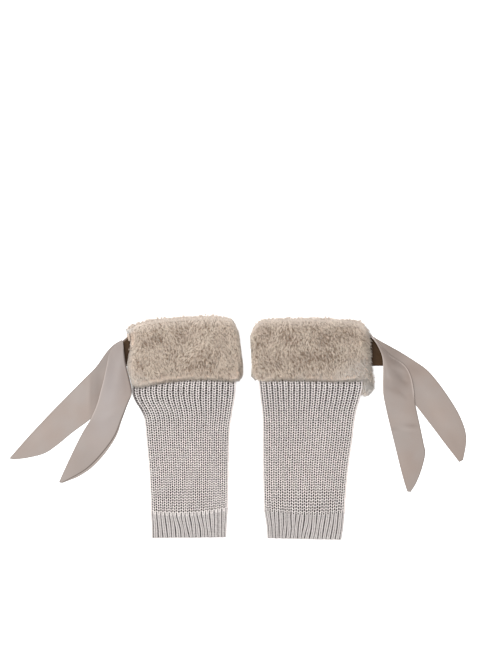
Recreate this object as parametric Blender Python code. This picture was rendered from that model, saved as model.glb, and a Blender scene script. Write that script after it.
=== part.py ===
"""A pair of knitted leg warmers laid flat, with turned-down fur cuffs and satin ribbon tails.

Run it with blender --background --python part.py, or from the text editor.
Metres, +Z up. The pair lies on z = 0, the cuffs towards +Y and the hems towards -Y,
and its box is centred on x = 0 and y = 0. The tables are in millimetres.

Each leg warmer is five pieces: the knitted leg, the fur cuff, the ribbon's strap, which lies
under the cuff's outer edge, and the ribbon's front and back tails.
"""

import math
from collections import namedtuple

import bmesh
import bpy
from mathutils import Vector

MM = 0.001
FIT = 0.3                    # gap between two pieces that touch
SHARP_ANGLE = math.radians(50)   # edges bent more than this look sharp

# Knitted leg: two layers of cloth lying on each other, ribs on the upper one.
RIBS = 18                    # ribs across the upper side
LOWER_WALL = 2.6             # cloth of the plain underside
UPPER_BASE = 2.2             # cloth of the upper side in a groove; a rib stands on top of it
FOLD_POINTS = 3              # points round each side fold
LOWER_STEPS = 12             # steps across the plain underside
RIB_PROFILE = ((0.0, 0.0), (0.22, 0.8), (0.5, 1.0), (0.78, 0.8))   # share of pitch, share of height
MOUTH_DEPTH = 12.5           # the knit's mouth lies this far inside the cuff's top rim

# Fur cuff: a thick ring of pile, 24 mm through where it is fullest.
CUFF_STEPS = 20              # steps across its front and its back
CUFF_FOLD_POINTS = 4
MOUTH_SLIT = 3.0             # clear height between front and back just inside the rim
CUFF_GRIP_Y = 66.0           # from here up the cuff lies close round the leg's edges

# Ribbons.
SATIN = 1.2                  # two layers of satin, turned and pressed
TAIL_STEPS = 4               # steps across a tail
SPLINE_STEPS = 2             # rings for each row of a tail's table

# The leg, from hem to cuff. y at its left and right edge, the two edges, height of the underside,
# thickness at the crests, height of the ribs, and how far the ribs' middles lean to +X.
LegRow = namedtuple("LegRow", "left_y right_y left right under thick rib lean")
LEFT_LEG = (
    LegRow(-174.0, -173.0, -136.0, -17.4, 0.0, 6.6, 0.9, 6.0),
    LegRow(-155.0, -152.0, -136.6, -16.6, 0.0, 6.8, 0.9, 3.5),
    LegRow(-136.0, -130.5, -137.4, -15.0, 0.0, 6.8, 0.9, 0.0),
    LegRow(-132.5, -127.0, -137.8, -14.6, 0.0, 7.6, 1.2, 0.0),
    LegRow(-69.0, -69.0, -140.7, -13.4, 0.0, 7.6, 1.2, 0.0),
    LegRow(-21.0, -21.0, -144.8, -12.4, 0.0, 7.6, 1.2, 0.0),
    LegRow(3.0, 3.0, -146.8, -11.0, 0.2, 7.6, 1.2, 0.0),
    LegRow(17.0, 17.0, -148.8, -8.9, 1.0, 7.6, 1.2, 0.0),
    LegRow(29.0, 29.0, -153.7, -7.0, 2.3, 7.6, 1.2, 0.0),
    LegRow(42.0, 42.0, -160.6, -4.7, 4.2, 7.6, 1.2, 0.0),
    LegRow(54.0, 54.0, -164.6, -3.1, 5.9, 7.6, 1.2, 0.0),
    LegRow(66.0, 66.0, -164.6, -2.6, 7.0, 7.6, 1.2, 0.0),
    LegRow(84.0, 84.0, -163.0, -3.0, 7.0, 6.6, 0.0, 0.0),
)
RIGHT_LEG = (
    LegRow(-174.4, -176.64, 46.1, 164.0, 0.0, 6.6, 0.9, -5.0),
    LegRow(-153.0, -156.0, 44.6, 167.2, 0.0, 6.8, 0.9, -3.0),
    LegRow(-132.0, -135.5, 41.2, 169.0, 0.0, 6.8, 0.9, 0.0),
    LegRow(-128.5, -132.0, 40.6, 169.8, 0.0, 7.6, 1.2, 0.0),
    LegRow(-101.5, -101.5, 39.7, 171.8, 0.0, 7.6, 1.2, 0.0),
    LegRow(-58.0, -58.0, 38.9, 175.9, 0.0, 7.6, 1.2, 0.0),
    LegRow(-12.5, -12.5, 38.8, 182.3, 0.0, 7.6, 1.2, 0.0),
    LegRow(8.0, 8.0, 38.4, 184.6, 0.4, 7.6, 1.2, 0.0),
    LegRow(27.5, 27.5, 37.2, 187.6, 2.1, 7.6, 1.2, 0.0),
    LegRow(41.0, 41.0, 35.8, 191.4, 4.1, 7.6, 1.2, 0.0),
    LegRow(53.0, 53.0, 34.3, 194.4, 5.8, 7.6, 1.2, 0.0),
    LegRow(66.0, 66.0, 33.0, 197.0, 7.0, 7.6, 1.2, 0.0),
    LegRow(84.0, 84.0, 32.0, 197.0, 7.0, 6.6, 0.0, 0.0),
)

# The cuff's rims, from its left edge (-1) to its right edge (1): y of the lower and the upper rim,
# for the front and for the back, whose outer corner hangs lower.
RimRow = namedtuple("RimRow", "reach low_front low_back top_front top_back")
LEFT_RIMS = (
    RimRow(-1.00, 80.0, 64.0, 148.0, 158.0),
    RimRow(-0.93, 66.5, 48.5, 161.0, 163.5),
    RimRow(-0.84, 62.0, 46.5, 165.5, 164.0),
    RimRow(-0.68, 65.0, 54.0, 169.0, 166.5),
    RimRow(-0.46, 70.0, 64.0, 172.0, 169.5),
    RimRow(0.00, 75.0, 70.0, 175.0, 172.0),
    RimRow(0.45, 75.3, 72.0, 176.7, 174.0),
    RimRow(0.80, 73.0, 72.0, 174.5, 172.0),
    RimRow(0.93, 72.0, 71.0, 168.5, 167.5),
    RimRow(1.00, 81.0, 80.0, 154.0, 153.0),
)
RIGHT_RIMS = (
    RimRow(-1.00, 86.0, 84.0, 150.0, 149.0),
    RimRow(-0.93, 76.0, 76.0, 163.0, 162.0),
    RimRow(-0.82, 73.5, 74.0, 171.0, 169.0),
    RimRow(-0.50, 74.8, 73.0, 173.0, 171.0),
    RimRow(0.00, 73.6, 71.0, 173.3, 171.0),
    RimRow(0.50, 72.3, 68.0, 172.5, 170.5),
    RimRow(0.72, 73.0, 62.0, 171.0, 169.0),
    RimRow(0.85, 74.5, 50.0, 168.0, 166.5),
    RimRow(0.93, 75.0, 45.0, 163.5, 162.5),
    RimRow(1.00, 86.0, 58.0, 153.0, 152.0),
)

# The cuff's sides, from its lower rim (0) to its upper rim (1): left and right edge of front and back.
SideRow = namedtuple("SideRow", "share left_front right_front left_back right_back thick")
LEFT_SIDES = (
    SideRow(0.00, -167.5, 9.5, -166.0, 9.0, 22.0),
    SideRow(0.15, -170.5, 11.0, -170.0, 10.6, 24.0),
    SideRow(0.35, -174.5, 9.6, -174.0, 9.4, 24.0),
    SideRow(0.65, -171.0, 6.2, -170.8, 6.0, 24.0),
    SideRow(0.88, -169.4, 4.3, -173.0, 4.0, 23.5),
    SideRow(1.00, -168.0, 3.0, -181.0, 2.6, 22.0),
)
RIGHT_SIDES = (
    SideRow(0.00, 21.5, 210.5, 21.8, 216.5, 22.0),
    SideRow(0.15, 20.8, 211.5, 21.0, 217.0, 24.0),
    SideRow(0.35, 20.0, 210.0, 20.2, 211.0, 24.0),
    SideRow(0.65, 19.0, 209.6, 19.2, 209.4, 24.0),
    SideRow(0.88, 17.6, 208.6, 17.8, 208.4, 23.5),
    SideRow(1.00, 17.4, 208.2, 17.6, 208.0, 22.0),
)

# One way round the cuff's wall, from the lower rim up the outside, over the top rim and down the
# inside: share of the cuff's height, offset along it, depth into the wall, and clear height inside.
WallRow = namedtuple("WallRow", "share offset depth slit")
CUFF_WALL = (
    WallRow(0.00, 0.0, 0.50, 0.0),
    WallRow(0.00, 1.5, 0.15, 0.0),
    WallRow(0.00, 5.0, 0.00, 0.0),
    WallRow(0.28, 0.0, 0.00, 0.0),
    WallRow(0.52, 0.0, 0.00, 0.0),
    WallRow(0.76, 0.0, 0.00, 0.0),
    WallRow(1.00, -5.0, 0.00, 0.0),
    WallRow(1.00, -1.5, 0.15, 0.0),
    WallRow(1.00, 0.0, 0.50, 0.0),
    WallRow(1.00, -1.5, 0.85, MOUTH_SLIT),
    WallRow(1.00, -5.0, 1.00, MOUTH_SLIT),
    WallRow(1.00, -9.5, 1.00, MOUTH_SLIT),
    WallRow(1.00, -11.0, 1.00, 0.0),
    WallRow(0.52, 0.0, 1.00, 0.0),
    WallRow(0.00, 5.0, 1.00, 0.0),
    WallRow(0.00, 1.5, 0.85, 0.0),
)

# The strap: x across it, and its lower and upper edge. It lies on z = 0.
StrapRow = namedtuple("StrapRow", "x low high")
LEFT_STRAP = (
    StrapRow(-167.5, 97.7, 146.0),
    StrapRow(-171.5, 97.7, 146.8),
    StrapRow(-181.5, 97.7, 138.0),
    StrapRow(-192.0, 97.7, 126.5),
    StrapRow(-200.0, 97.7, 114.0),
)
RIGHT_STRAP = (
    StrapRow(204.2, 97.7, 143.7),
    StrapRow(209.5, 97.7, 144.5),
    StrapRow(217.0, 97.7, 137.0),
    StrapRow(229.0, 97.7, 123.0),
    StrapRow(243.0, 97.7, 110.0),
)

# A tail, from its root to its tip: both edges' places with the height of their undersides,
# and how far the middle stands above the line between them.
TailRow = namedtuple("TailRow", "left_x left_y left_z right_x right_y right_z bow")
FRONT_TAIL_LEFT = (
    TailRow(-183.7, 137.5, 3.1, -180.8, 136.8, 8.0, 0.0),
    TailRow(-201.0, 121.6, 3.6, -178.6, 119.1, 12.5, 1.5),
    TailRow(-206.0, 101.0, 3.4, -175.6, 98.5, 11.0, 2.5),
    TailRow(-211.5, 75.6, 2.8, -170.2, 76.0, 6.0, 2.0),
    TailRow(-216.1, 58.7, 2.3, -167.0, 56.6, 3.0, 1.0),
    TailRow(-221.8, 37.5, 1.8, -173.2, 38.9, 1.2, 0.6),
    TailRow(-232.3, 13.5, 1.6, -183.5, 13.4, 0.0, 0.3),
    TailRow(-244.5, -6.5, 0.0, -194.0, -12.5, 0.0, 0.2),
    TailRow(-256.0, -29.0, 0.0, -213.0, -39.0, 0.0, 0.2),
    TailRow(-266.5, -51.0, 0.0, -234.0, -61.0, 0.0, 0.0),
    TailRow(-274.6, -68.5, 0.0, -252.5, -73.5, 0.0, 0.0),
    TailRow(-282.3, -85.9, 0.0, -277.2, -86.3, 0.0, 0.0),
)
BACK_TAIL_LEFT = (
    TailRow(-183.4, 138.9, 1.5, -181.4, 136.3, 1.5, 0.0),
    TailRow(-195.0, 131.5, 1.5, -188.0, 117.0, 1.5, 0.2),
    TailRow(-206.5, 119.6, 1.5, -190.5, 84.0, 1.5, 0.2),
    TailRow(-223.2, 96.3, 0.6, -199.0, 58.0, 0.6, 0.2),
    TailRow(-241.5, 77.8, 0.0, -211.5, 35.6, 0.0, 0.1),
    TailRow(-263.3, 55.7, 0.0, -231.5, 14.9, 0.0, 0.0),
    TailRow(-292.0, 26.5, 0.0, -261.0, -7.3, 0.0, 0.0),
    TailRow(-317.0, 0.1, 0.0, -286.2, -27.9, 0.0, 0.0),
    TailRow(-334.5, -19.0, 0.0, -306.0, -40.5, 0.0, 0.0),
    TailRow(-349.4, -35.9, 0.0, -332.8, -47.3, 0.0, 0.0),
    TailRow(-360.6, -48.4, 0.0, -353.4, -49.8, 0.0, 0.0),
)
FRONT_TAIL_RIGHT = (
    TailRow(208.2, 147.2, 7.6, 210.1, 148.4, 3.1, 0.0),
    TailRow(219.2, 132.0, 12.5, 221.8, 133.8, 3.2, 0.5),
    TailRow(227.4, 112.5, 13.0, 241.5, 114.5, 3.8, 2.0),
    TailRow(229.0, 91.0, 9.5, 263.0, 98.6, 3.8, 3.0),
    TailRow(228.8, 71.5, 6.0, 272.5, 82.5, 3.2, 2.5),
    TailRow(229.8, 53.5, 3.0, 277.2, 62.0, 2.8, 1.2),
    TailRow(234.0, 32.0, 1.2, 279.8, 37.0, 1.9, 0.6),
    TailRow(239.5, 8.5, 0.0, 286.0, 9.0, 0.0, 0.3),
    TailRow(247.0, -22.0, 0.0, 293.2, -25.5, 0.0, 0.0),
    TailRow(252.7, -45.0, 0.0, 295.7, -40.0, 0.0, 0.0),
    TailRow(258.2, -67.5, 0.0, 290.5, -63.5, 0.0, 0.0),
    TailRow(263.5, -86.5, 0.0, 281.5, -87.0, 0.0, 0.0),
    TailRow(268.0, -100.5, 0.0, 273.0, -101.2, 0.0, 0.0),
)
BACK_TAIL_RIGHT = (
    TailRow(207.8, 145.5, 1.5, 208.6, 147.7, 1.5, 0.0),
    TailRow(222.4, 132.6, 1.5, 225.4, 137.2, 1.5, 0.0),
    TailRow(236.0, 108.5, 1.6, 256.0, 119.8, 1.6, 0.2),
    TailRow(247.5, 82.0, 1.4, 279.5, 105.0, 1.4, 0.2),
    TailRow(262.0, 61.0, 0.3, 298.5, 91.5, 0.3, 0.1),
    TailRow(277.0, 41.8, 0.0, 315.0, 73.0, 0.0, 0.0),
    TailRow(293.6, 19.8, 0.0, 332.4, 48.9, 0.0, 0.0),
    TailRow(311.7, -3.7, 0.0, 348.5, 22.5, 0.0, 0.0),
    TailRow(327.5, -24.8, 0.0, 358.5, -2.5, 0.0, 0.0),
    TailRow(340.3, -41.3, 0.0, 360.6, -22.0, 0.0, 0.0),
    TailRow(350.0, -53.8, 0.0, 356.0, -50.5, 0.0, 0.0),
)

Side = namedtuple("Side", "name leg rims sides strap front_tail back_tail")
PAIR = (
    Side("left", LEFT_LEG, LEFT_RIMS, LEFT_SIDES, LEFT_STRAP, FRONT_TAIL_LEFT, BACK_TAIL_LEFT),
    Side("right", RIGHT_LEG, RIGHT_RIMS, RIGHT_SIDES, RIGHT_STRAP, FRONT_TAIL_RIGHT, BACK_TAIL_RIGHT),
)

# A point of a flattened tube's section: its place on the flat stretch from -1 to 1, its direction
# round a side fold, and its share of a rib's height.
Station = namedtuple("Station", "across out up crest")

Finish = namedtuple("Finish", "color roughness")
FINISHES = {
    "knit": Finish((0.50, 0.44, 0.43), 0.90),
    "fur": Finish((0.46, 0.37, 0.29), 0.95),
    "satin": Finish((0.45, 0.37, 0.34), 0.45),
    "strap": Finish((0.07, 0.045, 0.03), 0.60),
}


def material(name):
    """The named finish as a Principled material."""
    finish = FINISHES[name]
    made = bpy.data.materials.new(name)
    made.use_nodes = True
    shader = made.node_tree.nodes["Principled BSDF"]
    shader.inputs["Base Color"].default_value = (*finish.color, 1.0)
    shader.inputs["Roughness"].default_value = finish.roughness
    return made


def blend(first, second, share):
    """A number or a row of numbers, share of the way from first to second."""
    if isinstance(first, tuple):
        return type(first)(*(a + (b - a) * share for a, b in zip(first, second)))
    return first + (second - first) * share


def row_at(rows, key, value):
    """The table's row at that value of its key column, between two of its rows."""
    for low, high in zip(rows, rows[1:]):
        start = getattr(low, key)
        end = getattr(high, key)
        if value <= end:
            return blend(low, high, max(0.0, (value - start) / (end - start)))
    return rows[-1]


def spline(rows, steps):
    """The rows with steps rings for each, on a smooth curve through them all."""
    made = []
    for i in range(len(rows) - 1):
        before = rows[max(i - 1, 0)]
        after = rows[min(i + 2, len(rows) - 1)]
        for step in range(steps):
            t = step / steps
            columns = zip(before, rows[i], rows[i + 1], after)
            made.append(type(rows[i])(*(curve_value(*column, t) for column in columns)))
    return made + [rows[-1]]


def curve_value(a, b, c, d, t):
    """A point between b and c on the smooth curve through a, b, c and d."""
    return b + 0.5 * t * (c - a + t * (2 * a - 5 * b + 4 * c - d + t * (3 * (b - c) + d - a)))


def solid(name, rings, finish, closed):
    """A solid through rings of points. Closed, its last ring meets its first one, as in a tube's
    wall; open, each end is closed by a strip between the ring's upper and lower half."""
    mesh = bmesh.new()
    loops = [[mesh.verts.new(Vector(point) * MM) for point in ring] for ring in rings]
    count = len(loops[0])
    following = loops[1:] + loops[:1] if closed else loops[1:]
    for near, far in zip(loops, following):
        for i in range(count):
            j = (i + 1) % count
            mesh.faces.new((near[i], near[j], far[j], far[i]))
    if not closed:
        for loop in (loops[0], loops[-1]):
            for i in range(count // 2 - 1):
                mesh.faces.new((loop[i], loop[i + 1], loop[count - 2 - i], loop[count - 1 - i]))
    bmesh.ops.recalc_face_normals(mesh, faces=mesh.faces)
    data = bpy.data.meshes.new(name)
    mesh.to_mesh(data)
    mesh.free()
    data.materials.append(material(finish))
    data.shade_smooth()
    data.set_sharp_from_angle(angle=SHARP_ANGLE)
    made = bpy.data.objects.new(name, data)
    bpy.context.collection.objects.link(made)
    return made


def stations(upper, fold_points, lower_steps):
    """A flattened tube's section, from its upper left, round its right fold and back."""
    ring = [Station(across, 0.0, 1.0, crest) for across, crest in upper]
    turns = [math.pi * (0.5 - (k + 1) / (fold_points + 1)) for k in range(fold_points)]
    ring += [Station(1.0, math.cos(turn), math.sin(turn), 1.0) for turn in turns]
    ring += [Station(1 - 2 * k / lower_steps, 0.0, -1.0, 1.0) for k in range(lower_steps + 1)]
    ring += [Station(-1.0, -math.cos(turn), math.sin(turn), 1.0) for turn in reversed(turns)]
    return ring


def ribbed_stations():
    """The leg's section, with each rib's profile repeated along its upper side."""
    upper = [(-1 + 2 * (rib + share) / RIBS, height)
             for rib in range(RIBS) for share, height in RIB_PROFILE]
    return stations(upper + [(1.0, 0.0)], FOLD_POINTS, LOWER_STEPS)


def cuff_stations():
    """The cuff's section, plain all round."""
    upper = [(-1 + 2 * k / CUFF_STEPS, 1.0) for k in range(CUFF_STEPS + 1)]
    return stations(upper, CUFF_FOLD_POINTS, CUFF_STEPS)


def tube_point(station, left, right, floor, height, edge_height):
    """x and z of a station on a flattened tube between two edges, with folds edge_height through."""
    radius = edge_height / 2
    middle = (left + right) / 2
    flat = (right - left) / 2 - radius
    x = middle + station.across * flat + station.out * radius
    return x, floor + height * (1 + station.up) / 2


def leg_y(row, station):
    """y of a leg's row at a station, between its left and right edge."""
    return blend(row.left_y, row.right_y, (1 + station.across) / 2)


def leg_outside(row, station, y):
    """A point of the leg's outer face, in a groove or on a rib's crest."""
    x, z = tube_point(station, row.left, row.right, row.under, row.thick, row.thick)
    lean = row.lean * (1 - station.across ** 2) if station.up == 1.0 else 0.0
    return x + lean, y, z - row.rib * (1 - station.crest)


def leg_inside(row, station, y):
    """A point of the leg's plain inner face."""
    gap = row.thick - LOWER_WALL - UPPER_BASE - row.rib
    x, z = tube_point(station, row.left + LOWER_WALL, row.right - LOWER_WALL,
                      row.under + LOWER_WALL, gap, row.thick - 2 * LOWER_WALL)
    return x, y, z


def cuff_y(side, station, share, offset):
    """y at a share of the cuff's height, plus an offset, on its front, back or side fold."""
    top_row = side.sides[-1]
    half = (top_row.right_front - top_row.left_front) / 2
    radius = top_row.thick / 2
    reach = (station.across * (half - radius) + station.out * radius) / half
    rim = row_at(side.rims, "reach", reach)
    front = max(0.0, station.up)
    low = blend(rim.low_back, rim.low_front, front)
    top = blend(rim.top_back, rim.top_front, front)
    y = blend(low, top, share) + offset
    return y, (y - low) / (top - low)


def cuff_point(side, station, wall):
    """A point of the cuff's wall, between its outer face and the leg inside it."""
    y, share = cuff_y(side, station, wall.share, wall.offset)
    edge = row_at(side.sides, "share", min(max(share, 0.0), 1.0))
    front = max(0.0, station.up)
    left = blend(edge.left_back, edge.left_front, front)
    right = blend(edge.right_back, edge.right_front, front)
    outer_x, outer_z = tube_point(station, left, right, 0.0, edge.thick, edge.thick)
    leg = row_at(side.leg, "left_y", y)
    if wall.slit:
        floor = leg.under + (leg.thick - wall.slit) / 2
        height = wall.slit
    else:
        floor = leg.under - FIT
        height = leg.thick + 2 * FIT
    widest = row_at(side.leg, "left_y", max(y, CUFF_GRIP_Y))
    inner_x, inner_z = tube_point(station, widest.left - FIT, widest.right + FIT, floor, height, height)
    return blend(outer_x, inner_x, wall.depth), y, blend(outer_z, inner_z, wall.depth)


def make_leg(side):
    """The knitted leg: up its outside from the hem, round the mouth and down its inside."""
    ring = ribbed_stations()
    mouth = side.leg[-1]

    def mouth_ring(face, share, offset):
        return [face(mouth, s, cuff_y(side, s, share, offset)[0]) for s in ring]

    outside = [[leg_outside(row, s, leg_y(row, s)) for s in ring] for row in side.leg]
    outside += [mouth_ring(leg_outside, 0.5, 0.0), mouth_ring(leg_outside, 1.0, -MOUTH_DEPTH)]
    inside = [mouth_ring(leg_inside, 1.0, -MOUTH_DEPTH), mouth_ring(leg_inside, 0.5, 0.0)]
    kept = [row for i, row in enumerate(reversed(side.leg)) if i % 2 == 0]
    inside += [[leg_inside(row, s, leg_y(row, s)) for s in ring] for row in kept]
    return solid("knit_" + side.name, outside + inside, "knit", closed=True)


def make_cuff(side):
    """The fur cuff: a thick ring round the top of the leg."""
    ring = cuff_stations()
    rings = [[cuff_point(side, station, wall) for station in ring] for wall in CUFF_WALL]
    return solid("cuff_" + side.name, rings, "fur", closed=True)


def make_strap(side):
    """The ribbon's root, flat under the cuff's outer edge and under both tails."""
    rings = [((row.x, row.low, SATIN), (row.x, row.high, SATIN), (row.x, row.high, 0.0),
              (row.x, row.low, 0.0)) for row in side.strap]
    return solid("strap_" + side.name, rings, "strap", closed=False)


def tail_ring(row):
    """The ring of points round one section of a tail, its upper side and then its lower side."""
    upper = []
    lower = []
    for k in range(TAIL_STEPS + 1):
        share = k / TAIL_STEPS
        x = blend(row.left_x, row.right_x, share)
        y = blend(row.left_y, row.right_y, share)
        z = max(0.0, blend(row.left_z, row.right_z, share) + row.bow * 4 * share * (1 - share))
        upper.append((x, y, z + SATIN))
        lower.append((x, y, z))
    return upper + lower[::-1]


def make_tail(name, rows):
    """One tail of the ribbon, gathered at its root and lying on the floor at its tip."""
    return solid(name, [tail_ring(row) for row in spline(rows, SPLINE_STEPS)], "satin", closed=False)


def make_leg_warmer(side):
    """One leg warmer's five pieces, held by an empty of its own."""
    holder = bpy.data.objects.new("leg_warmer_" + side.name, None)
    bpy.context.collection.objects.link(holder)
    pieces = [
        make_leg(side),
        make_cuff(side),
        make_strap(side),
        make_tail("tail_front_" + side.name, side.front_tail),
        make_tail("tail_back_" + side.name, side.back_tail),
    ]
    for piece in pieces:
        piece.parent = holder


def main():
    for item in list(bpy.data.objects):
        bpy.data.objects.remove(item)
    for side in PAIR:
        make_leg_warmer(side)


main()
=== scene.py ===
"""A pair of knitted leg warmers with plush cuffs and satin ribbons, laid flat on a white table.

The tables are in millimetres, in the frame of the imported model: +X from the left leg warmer to
the right one, +Y from the hems to the cuffs, +Z up from the table.
"""

import math
from collections import namedtuple

import bmesh
import bpy
import numpy as np
from bpy.props import FloatProperty, FloatVectorProperty, IntProperty, PointerProperty
from mathutils import Matrix, Vector, noise
from mathutils.bvhtree import BVHTree


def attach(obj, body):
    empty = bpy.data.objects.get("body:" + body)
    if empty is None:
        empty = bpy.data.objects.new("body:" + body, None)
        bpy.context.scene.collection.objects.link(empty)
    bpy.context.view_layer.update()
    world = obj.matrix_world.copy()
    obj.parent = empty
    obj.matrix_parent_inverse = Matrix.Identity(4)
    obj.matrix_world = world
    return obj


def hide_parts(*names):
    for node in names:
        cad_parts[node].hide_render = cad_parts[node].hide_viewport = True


bl_info = {
    "name": "Leg Warmers",
    "version": (1, 0, 0),
    "blender": (4, 5, 0),
    "location": "3D View > Sidebar > Leg Warmers",
    "description": "Ribbed knit leg warmers with turned-down plush cuffs and ribbon tails",
    "category": "Object",
}

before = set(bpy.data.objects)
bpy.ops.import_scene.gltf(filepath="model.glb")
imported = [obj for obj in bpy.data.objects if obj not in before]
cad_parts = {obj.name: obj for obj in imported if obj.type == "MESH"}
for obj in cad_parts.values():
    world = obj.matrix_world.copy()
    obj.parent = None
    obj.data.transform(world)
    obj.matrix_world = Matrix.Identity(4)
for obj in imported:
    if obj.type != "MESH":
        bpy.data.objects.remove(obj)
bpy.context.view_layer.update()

MM = 0.001


def rows_of(kind, *rows):
    """A table with named columns, from its rows."""
    return tuple(kind(*row) for row in rows)


# ---- The knitted leg ----

RIBS = 18          # ribs on the flat of the upper side, and as many on the underside
FOLD_RIBS = 2      # ribs round each side fold
AROUND = 2 * (RIBS + FOLD_RIBS)
FLAT_END = (0, RIBS, RIBS + FOLD_RIBS, 2 * RIBS + FOLD_RIBS, AROUND)   # where flats and folds meet
ACROSS = (-1, 1, 1, -1, -1)
TURN = (90, 90, -90, -90, -270)
RIB_SHARE = (0.0, 0.22, 0.5, 0.78, 1.0)      # a rib's profile: share of its pitch
RIB_HEIGHT = (0.0, 0.8, 1.0, 0.8, 0.0)       # and share of its height
RIBBED_AT = (0, 18.5, 20, 38, 39.5)          # round the leg, from here to there
RIBBED = (1, 1, 0, 0, 1)                     # the ribs' share raised there: the underside is plain
CUFF_END = 86.0    # stitches go this far up under the cuff
LEG_STEPS = 4      # steps along a leg for each row of its table

# From hem to cuff: y at the left and right edge, the two edges, height of the underside,
# thickness at the crests, height of the ribs, and how far the ribs' middles lean to +X.
LegRow = namedtuple("LegRow", "left_y right_y left right under thick rib lean",
                    defaults=(0.0, 7.6, 1.2, 0.0))
LEFT_LEG = rows_of(
    LegRow,
    (-174, -173, -136, -17.4, 0, 6.6, 0.9, 6.4),
    (-155, -152, -136.6, -16.6, 0, 6.8, 0.9, 4.2),
    (-136, -130.5, -137.4, -15, 0, 6.8, 0.9),
    (-132.5, -127, -137.8, -14.6),
    (-69, -69, -140.7, -13.4),
    (-21, -21, -144.8, -12.4),
    (3, 3, -146.8, -11, 0.2),
    (17, 17, -148.8, -8.9, 1),
    (29, 29, -153.7, -7, 2.3),
    (42, 42, -161.8, -4.7, 4.2),
    (54, 54, -166.2, -3.1, 5.9),
    (66, 66, -166, -2.6, 7),
    (84, 84, -163, -3, 7, 6.6, 0),
    (152, 156, -163, -3, 7, 6.6, 0),
)
RIGHT_LEG = rows_of(
    LegRow,
    (-174.4, -176.6, 46.1, 164, 0, 6.6, 0.9, -5),
    (-153, -156, 44.6, 167.2, 0, 6.8, 0.9, -3),
    (-132, -135.5, 41.2, 169, 0, 6.8, 0.9),
    (-128.5, -132, 40.6, 169.8),
    (-101.5, -101.5, 39.7, 171.8),
    (-58, -58, 38.9, 175.9),
    (-12.5, -12.5, 38.8, 182.3),
    (8, 8, 38.4, 184.6, 0.4),
    (27.5, 27.5, 37.2, 187.6, 2.1),
    (41, 41, 35.8, 191.4, 4.1),
    (53, 53, 34.3, 194.4, 5.8),
    (66, 66, 33, 197, 7),
    (84, 84, 32, 197, 7, 6.6, 0),
    (150, 148, 32, 197, 7, 6.6, 0),
)

DIP_Y = (-172, -136, -95)   # the rows' middles sag by this much at these heights
DIP = (0, 5.6, 0)
SWAY_Y = (-133, -112)       # the ribs sway to and fro by this much at these heights
SWAY = (0.55, 0.18)

SHELL_START = 1.2           # the ground begins this far over the hem's edge
SHELL_STEPS = (8, 34, 6)    # rings of the ground in the hem, the body and under the cuff
HEM_PLAIN, BODY_PLAIN = 1.2, 0.5    # depth of the plain underside's ground

# One arm of a V stitch, from its foot to its head: share of a rib out from the rib's middle, rows
# up, depth of its middle under the rib's crest, and its half width (share of a rib) and height.
# An arm rises one and a half rows, so the holes up a rib's middle and up its grooves alternate.
ArmRow = namedtuple("ArmRow", "out up depth half tall")
BODY_ARM = rows_of(
    ArmRow,
    (-0.01, -0.76, 1.2, 0.108, 0.55), (0.176, -0.57, 0.92, 0.072, 0.7),
    (0.25, 0, 0.75, 0.076, 0.75), (0.324, 0.57, 0.92, 0.072, 0.7), (0.505, 0.76, 1.2, 0.108, 0.55),
)
BACK_ARM = rows_of(
    ArmRow,
    (0.08, -0.45, 0.55, 0.06, 0.2), (0.22, 0.2, 0.5, 0.15, 0.38), (0.37, 0.85, 0.55, 0.07, 0.2),
)
HEM_ARM = rows_of(
    ArmRow,
    (0.055, -0.7, 1.15, 0.11, 0.5), (0.21, 0.1, 0.75, 0.188, 0.68), (0.375, 0.9, 1.2, 0.115, 0.5),
)
# The cast-on edge round the hem's opening: half a rib of it.
EDGE_ARM = rows_of(
    ArmRow,
    (-0.02, 0, 0.95, 0.13, 0.85), (0.26, 0, 0.95, 0.15, 0.85), (0.52, 0, 1.05, 0.13, 0.8),
)
# How much further in than in the tables the heads stand, by y, most in the stretched upper part,
# where the grooves run on as dark lines.
SPREAD_Y = (-60, 5, 59, 74)
SPREAD = (1.0, 0.96, 0.870, 0.870)
BROAD = (0.86, 0.88, 0.88, 0.90)    # how broad the arms are there, of the tables' width
CUFF_PAINTED_SHADE = (1.0, 0.93, 0.83, 0.97)    # and how light the yarn is painted: painted shade towards the cuff, painted light again at its rim
HEM_BRIGHT = 0.63
BACK_BRIGHT = 0.8
DEEP, DEEP_PAINTED_SHADE = (0.9, 1.6), (1.0, 0.7)    # depths in an arm, and how light it is painted there: painted shade deeper down

YARN_SEED = 11
OUT_JITTER, UP_JITTER, DEPTH_JITTER = 0.010, 0.04, 0.07    # of a rib, of a row, and in mm

# Painted shade at the fold of the left knit's outer side: ribs from the fold, how dark, and its
# strength by y.
FOLD_AT, FOLD_PAINTED_SHADE = (1.3, 2.8), (0.85, 0)
FOLD_Y, FOLD_SHARE = (14, 26, 62), (0, 1, 1)

# ---- The ribbons ----

StrapRow = namedtuple("StrapRow", "x low high")
LEFT_STRAP = rows_of(
    StrapRow,
    (-167.5, 97.9, 146), (-171.5, 97.9, 146.6), (-181.5, 97.9, 138), (-192, 97.9, 126.5),
    (-200, 97.9, 114),
)
RIGHT_STRAP = rows_of(
    StrapRow,
    (204.2, 97.9, 143.7), (209.5, 97.9, 144.3), (217, 97.9, 137), (229, 97.9, 123),
    (243, 97.9, 110),
)
STRAP_Z = 0.75         # height of the strap's middle
STRAP_RIPPLE = 0.18
PALE_FROM = 0.94       # the left strap's upper edge gets painted light from this share of its height
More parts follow.
